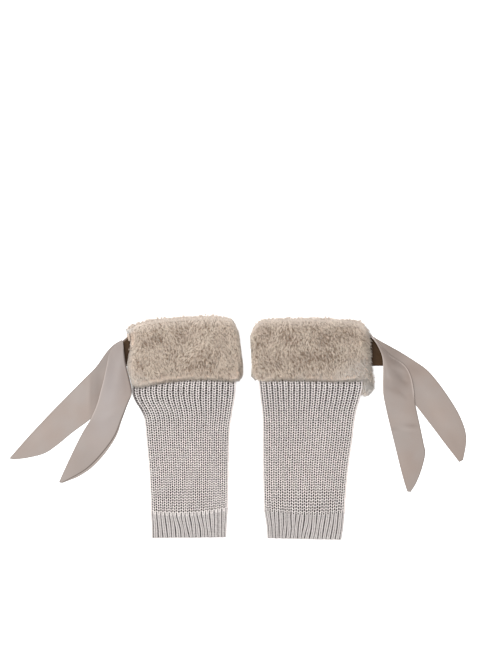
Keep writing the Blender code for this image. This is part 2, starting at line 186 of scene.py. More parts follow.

# A tail, from its root to its tip: both edges' places, the height of their undersides, and how
# far the middle stands above the line between them.
TailRow = namedtuple("TailRow", "left_x left_y right_x right_y left_z right_z bow",
                     defaults=(0.0, 0.0, 0.0))
FRONT_TAIL_LEFT = rows_of(
    TailRow,
    (-183.7, 137.5, -180.8, 136.8, 3.1, 8),
    (-201, 121.6, -178.6, 119.1, 3.6, 12.5, 1.5),
    (-206, 101, -175.6, 98.5, 3.4, 11, 2.5),
    (-211.5, 75.6, -170.2, 76, 2.8, 6, 2),
    (-216.1, 58.7, -167, 56.6, 2.3, 3, 1),
    (-221.8, 37.5, -173.2, 38.9, 1.8, 1.2, 0.6),
    (-232.3, 13.5, -183.5, 13.4, 1.6, 0, 0.3),
    (-244.5, -6.5, -194, -12.5, 0, 0, 0.2),
    (-256, -29, -213, -39, 0, 0, 0.2),
    (-266.5, -51, -234, -61),
    (-274.6, -68.5, -252.5, -73.5),
    (-282.3, -85.9, -277.2, -86.3),
)
BACK_TAIL_LEFT = rows_of(
    TailRow,
    (-183.4, 138.9, -181.4, 136.3, 1.5, 1.5),
    (-195, 131.5, -188, 117, 1.5, 1.5, 0.2),
    (-206.5, 119.6, -190.5, 84, 1.5, 1.5, 0.2),
    (-223.2, 96.3, -199, 58, 0.6, 0.6, 0.2),
    (-241.5, 77.8, -211.5, 35.6, 0, 0, 0.1),
    (-263.3, 55.7, -231.5, 14.9),
    (-292, 26.5, -261, -7.3),
    (-317, 0.1, -286.2, -27.9),
    (-334.5, -19, -306, -40.5),
    (-349.4, -35.9, -332.8, -47.3),
    (-360.6, -48.4, -353.4, -49.8),
)
FRONT_TAIL_RIGHT = rows_of(
    TailRow,
    (208.2, 147.2, 210.1, 148.4, 7.6, 3.1),
    (219.2, 132, 221.8, 133.8, 12.5, 3.2, 0.5),
    (227.4, 112.5, 241.5, 114.5, 13, 3.8, 2),
    (229, 91, 263, 98.6, 9.5, 3.8, 3),
    (228.8, 71.5, 272.5, 82.5, 6, 3.2, 2.5),
    (229.8, 53.5, 277.2, 62, 3, 2.8, 1.2),
    (234, 32, 279.8, 37, 1.2, 1.9, 0.6),
    (239.5, 8.5, 286, 9, 0, 0, 0.3),
    (247, -22, 293.2, -25.5),
    (252.7, -45, 295.7, -40),
    (258.2, -67.5, 290.5, -63.5),
    (263.5, -86.5, 281.5, -87),
    (268, -100.5, 273, -101.2),
)
BACK_TAIL_RIGHT = rows_of(
    TailRow,
    (207.8, 145.5, 208.6, 147.7, 1.5, 1.5),
    (222.4, 132.6, 225.4, 137.2, 1.5, 1.5),
    (236, 108.5, 256, 119.8, 1.6, 1.6, 0.2),
    (247.5, 82, 279.5, 105, 1.4, 1.4, 0.2),
    (262, 61, 298.5, 91.5, 0.3, 0.3, 0.1),
    (277, 41.8, 315, 73),
    (293.6, 19.8, 332.4, 48.9),
    (311.7, -3.7, 348.5, 22.5),
    (327.5, -24.8, 358.5, -2.5),
    (340.3, -41.3, 360.6, -22),
    (350, -53.8, 356, -50.5),
)

# A crease of a ribbon: its two ends seen from above, its half width, its height, and how much
# lighter it is painted: painted highlight above 0, painted shade below. A trough's height is under
# 0.
Crease = namedtuple("Crease", "x y end_x end_y half height light")
FRONT_LEFT_CREASES = rows_of(
    Crease,
    (-186, 118, -196, 40, 7, 1, 0.02), (-199, 112, -207, 50, 4, -0.8, -0.04),
    (-184, 134, -178, 98, 9, 0, -0.08), (-181, 96, -176, 52, 3.5, -0.7, -0.06),
    (-190, 30, -215, 10, 5, 0.5, 0.02), (-228, -30, -262, -74, 18, 0.4, -0.06),
    (-203, 60, -218, 0, 16, 0, 0.02),
)
BACK_LEFT_CREASES = rows_of(
    Crease,
    (-198, 128, -212, 92, 13, 0, -0.14), (-220.5, 104, -222, 16, 11, -0.3, -0.2),
    (-230.8, 88, -231.5, 22, 2.4, -0.3, -0.06), (-236, 78, -236.5, 20, 3, 0.6, 0.05),
    (-252, 62, -262, 8, 7, 0.5, 0.02), (-290, 10, -330, -30, 9, 0.4, 0.03),
)
FRONT_RIGHT_CREASES = rows_of(
    Crease,
    (222, 136, 246, 104, 12, 0, -0.14), (228, 118, 244, 60, 4, 1, 0.03),
    (236, 108, 262, 96, 7, -0.9, -0.14), (246, 90, 268, 66, 4, -0.9, -0.12),
    (252, 96, 270, 84, 3, 0.9, 0.05), (232, 84, 250, 72, 4.5, 0.8, 0.06),
    (231, 66, 262, 50, 4, -0.6, -0.07), (240, -1.5, 286, 4.5, 1.7, -0.9, -0.17),
    (241, -6, 284, 0, 2.5, 0.8, 0.05), (256, -30, 274, -84, 9, 0.4, 0.03),
    (238, 94, 262, 58, 12, 0, -0.09), (243, 17, 277, 17, 12, 0, 0.05),
    (258, 78, 272, 74, 2.2, 0.7, 0.05), (250, 62, 268, 44, 2.4, -0.6, -0.07),
    (236, 100, 248, 88, 2.4, -0.5, -0.06),
)
BACK_RIGHT_CREASES = rows_of(
    Crease,
    (222, 140, 262, 112, 15, 0, -0.19), (240, 112, 276, 66, 9, -0.5, -0.16),
    (262, 98, 316, 40, 8, 0.5, 0.03), (300, 50, 340, -12, 9, 0.5, 0.03),
    (330, 0, 352, -36, 6, -0.3, -0.03), (258, 104, 288, 86, 8, 0, -0.08),
    (308, 48, 350, -34, 22, 0, 0.05),
)

# Cooler and greyer places of a ribbon; here the last value is how grey it is.
FRONT_LEFT_COOL = rows_of(
    Crease,
    (-184, 146, -204, 46, 24, 0, 0.55), (-194, 96, -214, -4, 24, 0, 0.6),
    (-204, 46, -224, -54, 24, 0, 0.4),
)

# A line along a ribbon's edge, right (1) or left (0): from and to which share of its length, its
# half width, and how much lighter it is painted. The turned edge gets a painted highlight, and the
# seam over the lower layer and other edges get painted shade.
EdgeLine = namedtuple("EdgeLine", "right start end half light")
FRONT_LEFT_EDGES = rows_of(
    EdgeLine,
    (0, 0.14, 0.55, 1.2, 0.36), (1, 0.08, 0.36, 1.1, -1.5), (1, 0.42, 0.98, 0.9, -1.6),
    (0, 0.55, 1, 0.8, -0.12),
)
BACK_LEFT_EDGES = rows_of(
    EdgeLine,
    (0, 0.05, 1, 0.8, -0.12), (1, 0.3, 1, 0.8, -0.12),
)
FRONT_RIGHT_EDGES = rows_of(
    EdgeLine,
    (0, 0, 0.4, 1.2, 0.4), (1, 0.04, 0.46, 1.2, 0.62), (1, 0.46, 1, 0.8, -0.14),
    (0, 0.44, 1, 0.8, -0.14),
)
BACK_RIGHT_EDGES = rows_of(
    EdgeLine,
    (1, 0.1, 1, 0.8, -0.12), (0, 0.3, 1, 0.8, -0.14),
)

RIBBON_STEPS = 6       # steps along a ribbon for each row of its table
RIBBON_ACROSS = 20
CALM_EDGE = 5.0        # creases fade out this far from a ribbon's edge
LIFT = 0.1             # a ribbon's underside lies this far above its table's height
HEM_RISE, HEM_AT, HEM_HALF = 0.22, 1.0, 0.9    # the ridge of its turned edge
CREASE_END = 0.15      # a crease fades out over this share past its ends

# ---- The cuffs ----

# x, y along each cuff's upper edge.
LEFT_TOP = (
    (-176, 153), (-160, 163.5), (-131, 170), (-85, 175), (-47, 176.6), (-9, 174), (1, 165),
    (8, 150),
)
RIGHT_TOP = (
    (18, 148), (24, 163), (35, 171), (57, 173), (149, 173.3), (179, 172), (195, 166), (207, 156),
)
# How far the left cuff's outer edge is shifted to +X, by y.
LEFT_EDGE_Y = (66, 79, 100, 116, 125, 134, 143, 148.5, 152.5, 158, 166)
LEFT_EDGE_SHIFT = (0, -1.2, -3, -0.6, 3, 6, 6.4, 5.6, -2.6, -3.4, -0.6)
# The right cuff's corners: x, y, and the shift there.
RIGHT_CORNERS = ((24, 82, -2.5, -4.5), (22, 160, -1.5, 2.5))

# Brownish patches of painted shade in the pile: x, y, radius, and how many more of the locks there
# are dark.
LEFT_SHADE_PATCHES = (
    (-86.6, 144.5, 14, 0.34), (-121.5, 137.7, 12, 0.28), (-124.9, 156.8, 12, 0.16),
    (-50.5, 156.8, 12, 0.18), (-50.5, 103.8, 17, 0.36), (-91, 105, 13, 0.26),
    (-68.5, 95.9, 12, 0.24), (-145.3, 95.9, 11, 0.16), (-145.3, 129.8, 11, 0.22),
    (-12, 92, 10, 0.14), (-104, 120, 9, 0.14),
)
RIGHT_SHADE_PATCHES = (
    (77, 143.4, 14, 0.28), (86.1, 127.6, 9, 0.32), (135.7, 136.6, 14, 0.3), (147, 111.8, 13, 0.38),
    (111, 111.8, 11, 0.26), (97.4, 100.4, 13, 0.34), (131.2, 102.7, 13, 0.3),
    (167.3, 152.4, 12, 0.24), (115.4, 154.6, 11, 0.2), (45.4, 152.4, 10, 0.2),
    (61.2, 107.2, 11, 0.26), (169.6, 105, 10, 0.18), (34.2, 127.6, 12, 0.24), (36, 100, 12, 0.16),
    (60, 88, 9, 0.12), (86, 82, 3.5, 0.55), (109, 80, 3.5, 0.55),
)
MOST_DARK = 0.68    # the greatest share of dark locks

# The greyer places in the pile: x, y, radius, and how grey it is there.
LEFT_GREY = ((-174, 152, 7, 0.9), (-162, 72, 13, 0.5), (-142, 66, 11, 0.4), (-3, 74, 8, 0.4))
RIGHT_GREY = (
    (188, 86, 20, 0.7), (204, 98, 11, 0.4), (160, 76, 14, 0.5), (130, 76, 10, 0.4),
    (100, 76, 9, 0.4), (30, 78, 11, 0.3), (206, 60, 14, 1),
)

FRONT_FROM = 11.0        # the fine front pile is above this height, and on every rising face
KNIT_CLEAR = 0.5         # no tuft is nearer the knit than this
LOCK_STRAY = 0.38        # how much a lock's way strays from the nap
TUFT_STRAY = 0.16        # and a tuft's from its lock's
LONG_LOCK = 0.86         # a way along the nap counts for less by this in finding the nearest lock
WALL_SHARE = 0.45        # pile takes up no more than this of the cuff's wall
DEEPEST = 30.0           # taken as the wall where a ray finds none
LONGEST_PULL = 2.5       # a lock draws a tuft no further
TIP_SCATTER = 0.22
STRAY_HAIRS = 0.05       # share of single tufts that stand up out of the pile
UPPER_SINK = 0.9         # how deep the pile at the upper rim lies
TONGUE_FLOOR = 15.8      # the fringe bends down towards this height over the knit
SPIKE = 5.0              # how far the right cuff's longest outer locks stand out
LOWEST_TIP, LOWEST_ROOT, HIGHEST_ROOT = 0.3, 0.8, 22.0
BACKING_CLEAR, BACKING_FADE = 0.0006, 0.005    # in metres: the backing isn't drawn in by the knit

# ---- Both leg warmers ----

Ribbon = namedtuple("Ribbon", "name node rows creases cool edges slip_x slip_y")
Side = namedtuple("Side", "name leg strap top patches more_dark grey ribbons")
PAIR = (
    Side("left", LEFT_LEG, LEFT_STRAP, LEFT_TOP, LEFT_SHADE_PATCHES, 1.0, LEFT_GREY, (
        Ribbon("ribbon_front_left", "tail_front_left", FRONT_TAIL_LEFT, FRONT_LEFT_CREASES,
               FRONT_LEFT_COOL, FRONT_LEFT_EDGES, 2.9, -2.2),
        Ribbon("ribbon_back_left", "tail_back_left", BACK_TAIL_LEFT, BACK_LEFT_CREASES,
               (), BACK_LEFT_EDGES, -0.3, 0.4),
    )),
    Side("right", RIGHT_LEG, RIGHT_STRAP, RIGHT_TOP, RIGHT_SHADE_PATCHES, 1.2, RIGHT_GREY, (
        Ribbon("ribbon_front_right", "tail_front_right", FRONT_TAIL_RIGHT, FRONT_RIGHT_CREASES,
               (), FRONT_RIGHT_EDGES, 0.7, 0.3),
        Ribbon("ribbon_back_right", "tail_back_right", BACK_TAIL_RIGHT, BACK_RIGHT_CREASES,
               (), BACK_RIGHT_EDGES, 0.4, 0.3),
    )),
)

# The stage, in metres.
TABLE_HALF, TABLE_DROP = 3.0, 0.0002    # the drop keeps its face clear of the cloth
KEY_PLACE, KEY_WIDTH = (-0.40, 0.35, 1.95), 1.8
VIEW_CENTRE, LENS = (0.0037, 0.1562), 100.0    # the lens in millimetres

# ---- Settings ----


def length(name, description, default):
    """A size in metres that a user may change."""
    return FloatProperty(name=name, description=description, default=default, unit="LENGTH",
                         precision=4)


def color(name, description, default):
    """A linear colour that a user may change."""
    return FloatVectorProperty(name=name, description=description, default=default,
                               subtype="COLOR", size=3, min=0.0, max=1.0)


class KnitSettings(bpy.types.PropertyGroup):
    """Sizes and colours of the knitted legs."""

    row_height: length("Row", "Height of one row of stitches in the leg", 0.0039)
    hem_row_height: length("Hem row", "Height of one row of stitches in the hem", 0.0026)
    cloth: length("Cloth", "Thickness of the ground under the stitches", 0.0012)
    ground_depth: length("Ground depth", "How far the ground lies under the crests", 0.0019)
    yarn_color: color("Yarn", "Colour of the yarn on top", (0.94, 0.865, 0.838))
    # The ground's colour is painted shade: nearly black, for the shade deep in the rib and between
    # the stitches.
    ground_shade_color: color("Ground", "Colour deep in the rib", (0.022, 0.016, 0.014))


class PlushSettings(bpy.types.PropertyGroup):
    """Sizes and colours of the plush cuffs."""

    pile: length("Pile", "How far the pile stands above its backing", 0.0055)
    front_spacing: length("Front spacing", "Distance between tufts on the upper side", 0.00082)
    back_spacing: length("Back spacing", "Distance between tufts on the underside", 0.0012)
    tuft: length("Tuft", "Half width of a tuft", 0.0005)
    lean: length("Lean", "How far a tuft's tip leans along the nap", 0.0058)
    lock: length("Lock", "Distance between locks of tufts", 0.0017)
    lock_depth: length("Lock depth", "How much lower than others some locks lie", 0.0012)
    fringe: length("Fringe", "How far the longest locks hang over the knit", 0.0048)
    pull: FloatProperty(name="Pull", description="How much a lock draws its tufts together",
                        default=0.28, min=0.0, max=1.0, subtype="FACTOR")
    seed: IntProperty(name="Seed", description="Start of the random draws", default=7)
    tip_color: color("Tips", "Colour of the pile's tips", (0.99, 0.88, 0.765))
    # The roots' colour is painted shade deep in the pile; the backing under the pile takes it too.
    root_shade_color: color("Roots", "Colour deep in the pile", (0.60, 0.46, 0.36))
    # The dark locks' colour is painted shade, for the shade in the partings between locks.
    dark_lock_shade_color: color("Dark tips", "Colour of the brown locks' tips", (0.112, 0.056, 0.018))
    # Pale is painted light at the rims; the back pile low down is drawn pale too.
    pale_color: color("Pale", "Colour at the rims and on the back", (0.90, 0.80, 0.715))
    grey_color: color("Grey", "Colour in the greyer places", (0.80, 0.79, 0.765))
    # The shade colour is painted shade, on the turned faces and low beside the left cuff.
    shade_color: color("Shade", "Colour on the turned faces", (0.44, 0.38, 0.335))


class SatinSettings(bpy.types.PropertyGroup):
    """Sizes and colours of the ribbons."""

    layer: length("Layer", "Thickness of one layer of satin", 0.0005)
    gap: length("Gap", "Space between a ribbon's two layers", 0.0001)
    satin_color: color("Satin", "Colour of the tails", (0.266, 0.212, 0.184))
    cool_color: color("Cool satin", "Their colour in the cooler patches", (0.272, 0.230, 0.208))
    grey_color: color("Grey satin", "Their colour in the greyest patches", (0.282, 0.247, 0.235))
    # The strap's colour is painted shade: a dark sheet where the raised tails shade the ribbon's
    # root.
    strap_shade_color: color("Strap", "Colour of the ribbon's dark root", (0.048, 0.0245, 0.0097))


class StageSettings(bpy.types.PropertyGroup):
    """Light and view."""

    key: FloatProperty(name="Key", description="Strength of the soft light", default=46.0,
                       unit="POWER")
    sky: FloatProperty(name="Sky", description="Strength of the light all round", default=0.62)
    glow: FloatProperty(name="Table glow", description="Light that the table gives", default=0.35)
    distance: length("Distance", "Height of the camera above the table", 2.888)


# ---- Making shapes ----


def curve_value(a, b, c, d, t):
    """A point between b and c on the smooth curve through a, b, c and d."""
    return b + 0.5 * t * (c - a + t * (2 * a - 5 * b + 4 * c - d + t * (3 * (b - c) + d - a)))


def columns_of(rows):
    """A table's columns as arrays."""
    return type(rows[0])(*(np.array(part, dtype=float) for part in zip(*rows)))


def spline(rows, steps):
    """A table's columns as arrays, steps rings for each row, on a smooth curve through them all."""
    made = []
    for i in range(len(rows) - 1):
        four = rows[max(i - 1, 0)], rows[i], rows[i + 1], rows[min(i + 2, len(rows) - 1)]
        for step in range(steps):
            made.append(type(rows[i])(*(curve_value(*part, step / steps) for part in zip(*four))))
    return columns_of(made + [rows[-1]])


def row_at(columns, share):
    """The row at a share of a table's length, between two of its rows."""
    numbers = np.arange(len(columns[0]))
    return type(columns)(*(float(np.interp(share * numbers[-1], numbers, c)) for c in columns))


def unit(vectors):
    """Vectors brought to length 1."""
    return vectors / np.linalg.norm(vectors, axis=-1, keepdims=True)


def along_face(vectors, ways):
    """What is left of vectors without their part along the face's normals."""
    return vectors - ways * np.sum(vectors * ways, axis=1, keepdims=True)


def grid_sheet(across, along, place, tube=False, **shades):
    """A sheet of across x along faces, each point put by place(u, v), with its UV map. A tube's
    first and last column meet. shades are functions of u, v for the material's own values."""
    mesh = bmesh.new()
    bmesh.ops.create_grid(mesh, x_segments=across, y_segments=along, size=1.0)
    chart = mesh.loops.layers.uv.new("UVMap")
    for face in mesh.faces:
        for loop in face.loops:
            loop[chart].uv = ((loop.vert.co.x + 1) / 2, (loop.vert.co.y + 1) / 2)
    layers = [(mesh.verts.layers.float.new(label), value) for label, value in shades.items()]
    for vert in mesh.verts:
        u, v = (vert.co.x + 1) / 2, (vert.co.y + 1) / 2
        for layer, value in layers:
            vert[layer] = value(u, v)
        vert.co = Vector(place(u, v)) * MM
    if tube:
        bmesh.ops.remove_doubles(mesh, verts=mesh.verts, dist=1e-6)
    return mesh


def finish_mesh(name, mesh, material):
    """An object at the origin from a bmesh, smooth."""
    data = bpy.data.meshes.new(name)
    mesh.to_mesh(data)
    mesh.free()
    return place_mesh(name, data, material)


def place_mesh(name, data, material):
    """An object at the origin with that mesh and material, smooth."""
    data.shade_smooth()
    data.materials.append(material)
    made = bpy.data.objects.new(name, data)
    bpy.context.collection.objects.link(made)
    return made


def thicken(name, mesh, material, thickness, offset=0.0):
    """A piece of cloth that thick from a bmesh's sheet."""
    bmesh.ops.recalc_face_normals(mesh, faces=mesh.faces)
    piece = finish_mesh(name, mesh, material)
    wall = piece.modifiers.new("Cloth", "SOLIDIFY")
    wall.thickness = thickness
    wall.offset = offset
    wall.use_even_offset = True
    return piece


def seat(piece, slot, *nodes):
    """Fixes a piece to the model in place of the nodes that it stands for."""
    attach(piece, "root")
    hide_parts(*nodes)


def strands(name, spine, side, lift, corners, pointed, material, shades):
    """Many strands as one mesh. spine, side and lift are arrays of strands x rings x 3, in
    millimetres: each ring's middle, its half width and its half height. A pointed strand ends in
    one point. shades are values of each ring, for the material."""
    count, rings, _ = spine.shape
    angles = np.arange(corners) * 2 * math.pi / corners
    turn = np.stack([np.cos(angles), np.sin(angles)], axis=1)
    whole = rings - 1 if pointed else rings
    body = (spine[:, :whole, None] + side[:, :whole, None] * turn[:, 0, None]
            + lift[:, :whole, None] * turn[:, 1, None]).reshape(count, whole * corners, 3)
    each = whole * corners
    if pointed:
        body = np.concatenate([body, spine[:, -1:]], axis=1)
        each += 1
    faces = []
    for ring in range(whole - 1):
        near, far = ring * corners, (ring + 1) * corners
        for i in range(corners):
            j = (i + 1) % corners
            faces.append((near + i, far + i, far + j, near + j))
    last = (whole - 1) * corners
    if pointed:
        faces += [(last + i, each - 1, last + (i + 1) % corners) for i in range(corners)]
    else:
        faces.append(tuple(last + i for i in range(corners))[::-1])
    faces.append(tuple(range(corners)))
    data = bpy.data.meshes.new(name)
    starts = (np.arange(count) * each).tolist()
    data.from_pydata((body.reshape(-1, 3) * MM).tolist(), [],
                     [tuple(start + i for i in face) for start in starts for face in faces])
    for label, values in shades.items():
        spread = np.repeat(values[:, :whole], corners, axis=1)
        if pointed:
            spread = np.concatenate([spread, values[:, -1:]], axis=1)
        layer = data.attributes.new(label, "FLOAT", "POINT")
        layer.data.foreach_set("value", spread.ravel())
    return place_mesh(name, data, material)


# ---- Materials ----


class Nodes:
    """A material's node tree, with short calls to add nodes to it."""

    def __init__(self, name):
        self.material = bpy.data.materials.new(name)
        self.material.use_nodes = True
        self.tree = self.material.node_tree
        self.shader = self.tree.nodes["Principled BSDF"]

    def add(self, kind, **values):
        """A node of that kind with its settings."""
        made = self.tree.nodes.new(kind)
        for name, value in values.items():
            setattr(made, name, value)
        return made

    def feed(self, socket, item):
        """Gives an input a number, a colour or another node's output."""
        if isinstance(item, bpy.types.NodeSocket):
            self.tree.links.new(item, socket)
        elif isinstance(item, (int, float)):
            socket.default_value = item
        else:
            socket.default_value = (*item, 1.0)

    def value(self, label):
        """A piece's own value by name."""
        return self.add("ShaderNodeAttribute", attribute_name=label).outputs["Fac"]

    def place(self):
        """A point's place on the object."""
        return self.add("ShaderNodeTexCoord").outputs["Object"]

    def noise(self, scale, detail=2.0, vector=None):
        """A noise of that scale on the object."""
        made = self.add("ShaderNodeTexNoise")
        self.feed(made.inputs["Scale"], scale)
        self.feed(made.inputs["Detail"], detail)
        self.feed(made.inputs["Vector"], vector or self.place())
        return made.outputs["Fac"]

    def math(self, operation, *items):
        """A number worked out from others."""
        made = self.add("ShaderNodeMath", operation=operation)
        for socket, item in zip(made.inputs, items):
            self.feed(socket, item)
        return made.outputs["Value"]

    def spread(self, value, low, high, new_low=0.0, new_high=1.0):
        """A value's range low to high brought to another one, and held in it."""
        made = self.add("ShaderNodeMapRange")
        names = ("Value", "From Min", "From Max", "To Min", "To Max")
        for name, item in zip(names, (value, low, high, new_low, new_high)):
            self.feed(made.inputs[name], item)
        return made.outputs["Result"]

    def mix(self, share, first, second):
        """Two colours mixed."""
        made = self.add("ShaderNodeMix", data_type="RGBA")
        for number, item in ((0, share), (6, first), (7, second)):
            self.feed(made.inputs[number], item)
        return made.outputs[2]

    def bump(self, height, strength, distance):
        """Gives the shader a relief."""
        made = self.add("ShaderNodeBump")
        self.feed(made.inputs["Strength"], strength)
        self.feed(made.inputs["Distance"], distance)
        self.feed(made.inputs["Height"], height)
        self.feed(self.shader.inputs["Normal"], made.outputs["Normal"])

    def finish(self, color, roughness, sheen=0.0, sheen_roughness=0.5):
        """Sets the shader and gives back the material."""
        names = ("Base Color", "Roughness", "Sheen Weight", "Sheen Roughness")
        for name, item in zip(names, (color, roughness, sheen, sheen_roughness)):
            self.feed(self.shader.inputs[name], item)
        return self.material


def scaled(color, amount):
    """A colour made lighter or darker."""
    return tuple(min(1.0, part * amount) for part in color)


def yarn_material(knit):
    """Soft wool yarn, a little uneven from stitch to stitch, mixed towards the ground's painted
    shade by its depth value.
    """
    yarn = Nodes("knit_yarn")
    dull = scaled(knit.yarn_color, 0.86)
    tone = yarn.mix(yarn.value("shade"), dull, scaled(knit.yarn_color, 1.08))
    patches = yarn.spread(yarn.noise(18.0), 0.35, 0.65)
    tone = yarn.mix(yarn.math("MULTIPLY", patches, 0.35), tone, dull)
    # Painted shade: a low depth value mixes the yarn towards the ground's dark colour.
    tone = yarn.mix(yarn.spread(yarn.value("depth"), 0.0, 1.0), knit.ground_shade_color, tone)
    yarn.bump(yarn.noise(2600.0, 3.0), 0.35, 0.0003)
    return yarn.finish(tone, 0.92, 0.25)


def deep_material(name, color, dark, light, grain, fine, detail):
    """Cloth deep between stitches or tufts, where little light comes, its colour darkened as
    painted shade.
    """
    deep = Nodes(name)
    tone = deep.mix(deep.noise(grain, detail), scaled(color, dark), scaled(color, light))
    deep.bump(deep.noise(fine, detail), 0.4, 0.0004)
    return deep.finish(tone, 0.95)


def pile_material(plush):
    """Plush pile: painted shade at its roots, in its dark locks and on its turned faces; pale at
    its tips, with painted light at its rims; in soft patches.
    """
    pile = Nodes("plush_pile")
    place = pile.place()
    parts = pile.add("ShaderNodeSeparateXYZ")
    pile.feed(parts.inputs[0], place)
    patches = pile.spread(pile.noise(38.0, 3.0, place), 0.38, 0.62)
    warm = pile.mix(patches, scaled(plush.tip_color, 0.90), scaled(plush.tip_color, 1.04))
    warm = pile.mix(pile.value("shade"), plush.dark_lock_shade_color, warm)
    low = pile.spread(parts.outputs["Z"], 0.008, 0.013, 1.0, 0.0)
    # Painted light at the rims, where the roots' painted shade fades out; paler low down on the
    # back pile too.
    edge = pile.math("MULTIPLY", pile.math("MAXIMUM", pile.value("rim"), low), 0.85)
    tips = pile.mix(edge, warm, plush.pale_color)
    tips = pile.mix(pile.value("grey"), tips, plush.grey_color)
    roots = pile.mix(edge, plush.root_shade_color, scaled(plush.pale_color, 0.85))
    tone = pile.mix(pile.value("tone"), roots, tips)
    # Painted shade on the turned faces and low beside the left cuff's outer edge.
    tone = pile.mix(pile.value("dusk"), tone, plush.shade_color)
    pile.feed(pile.shader.inputs["Specular IOR Level"], 0.2)
    return pile.finish(tone, 0.95, 0.06, 0.6)


def satin_material(name, color, cool_color, grey_color, light_color, gloss):
    """Satin: a fine weave with a soft gloss, in two close colours, with painted highlight and
    painted shade at its creases and edges."""
    satin = Nodes(name)
    soft = satin.spread(satin.noise(14.0, 3.0), 0.40, 0.60)
    tone = satin.mix(soft, color, cool_color)
    tone = satin.mix(satin.value("cool"), tone, grey_color)
    # The light value is painted light and shade: above 0 towards light_color, below 0 towards a
    # dark brown.
    light = satin.value("light")
    tone = satin.mix(satin.spread(light, 0.0, 0.5, 0.0, 0.75), tone, light_color)
    deep = (color[0] * 0.14, color[1] * 0.09, color[2] * 0.05)
    tone = satin.mix(satin.spread(light, 0.0, -0.5, 0.0, 0.75), tone, deep)
    threads = satin.add("ShaderNodeTexWave", wave_type="BANDS", bands_direction="DIAGONAL")
    satin.feed(threads.inputs["Scale"], 420.0)
    satin.feed(threads.inputs["Distortion"], 1.5)
    satin.feed(threads.inputs["Vector"], satin.place())
    height = satin.math("MULTIPLY_ADD", satin.noise(160.0, 3.0), 1.5, threads.outputs["Fac"])
    satin.bump(height, 0.12, 0.0002)
    satin.feed(satin.shader.inputs["Specular IOR Level"], gloss)
    return satin.finish(tone, 0.48)


def floor_material(glow):
    """The white table."""
    floor = Nodes("white_table")
    floor.feed(floor.shader.inputs["Emission Color"], (1.0, 1.0, 1.0))
    floor.feed(floor.shader.inputs["Emission Strength"], glow)
    return floor.finish(floor.mix(floor.noise(3.0), (0.93, 0.93, 0.93), (0.95, 0.95, 0.95)), 0.9)


# ---- The knitted legs ----


def leg_points(rows, rib, along, inset):
    """Points of the leg's outer face moved in by inset. rib counts ribs round the leg from its
    upper left edge, and along is y at the left edge. The upper ribs sway a little, most in the
    hem."""
    rib = np.mod(rib, AROUND)
    across = np.interp(rib, FLAT_END, ACROSS)
    turn = np.radians(np.interp(rib, FLAT_END, TURN))
    row = LegRow(*(np.interp(along, rows.left_y, column) for column in rows))
    radius = row.thick / 2
    half = (row.right - row.left) / 2 - radius
    drift = np.sin(rib * 1.1 + along * 0.11) + np.sin(rib * 2.3 - along * 0.07 + 1.3)
    upper = (1 - across ** 2) * np.clip(np.sin(turn), 0, 1)
    lean = (row.lean + drift * np.interp(along, SWAY_Y, SWAY)) * upper
    x = (row.right + row.left) / 2 + across * half + np.cos(turn) * (radius - inset) + lean
    y = along + (row.right_y - along) * (1 + across) / 2 - np.interp(along, DIP_Y, DIP) * upper
    z = row.under + radius + np.sin(turn) * (radius - inset)
    return np.stack([x, y, z], axis=-1)


def rib_depth(rows, rib, along):
    """How far the leg's face lies under the crests: the ribs, flat on the underside."""
    height = np.interp(np.mod(rib, 1.0), RIB_SHARE, RIB_HEIGHT)
    relief = np.interp(np.mod(rib, AROUND), RIBBED_AT, RIBBED)
    return np.interp(along, rows.left_y, rows.rib) * (1 - height) * relief


def make_shell(side, knit, material):
    """The leg's ground: one ribbed tube lying flat, open at the hem and at the mouth."""
    rows = spline(side.leg, LEG_STEPS)
    hem_top = side.leg[2].left_y
    ends = (rows.left_y[0] + SHELL_START, hem_top, CUFF_END, rows.left_y[-1])
    steps = []
    for low, high, count in zip(ends, ends[1:], SHELL_STEPS):
        steps += list(np.linspace(low, high, count)[:-1])
    steps.append(ends[-1])
    ground = knit.ground_depth / MM

    def place(u, v):
        rib = u * AROUND
        along = np.interp(v * (len(steps) - 1), np.arange(len(steps)), steps)
        inset = ground
        if RIBS + FOLD_RIBS <= rib <= 2 * RIBS + FOLD_RIBS:
            inset = min(ground, BODY_PLAIN if along > hem_top else HEM_PLAIN)
        return leg_points(rows, rib, along, inset + rib_depth(rows, rib, along))

    mesh = grid_sheet(AROUND * 4, len(steps) - 1, place, tube=True)
    return thicken("leg_" + side.name, mesh, material, knit.cloth, -1.0)


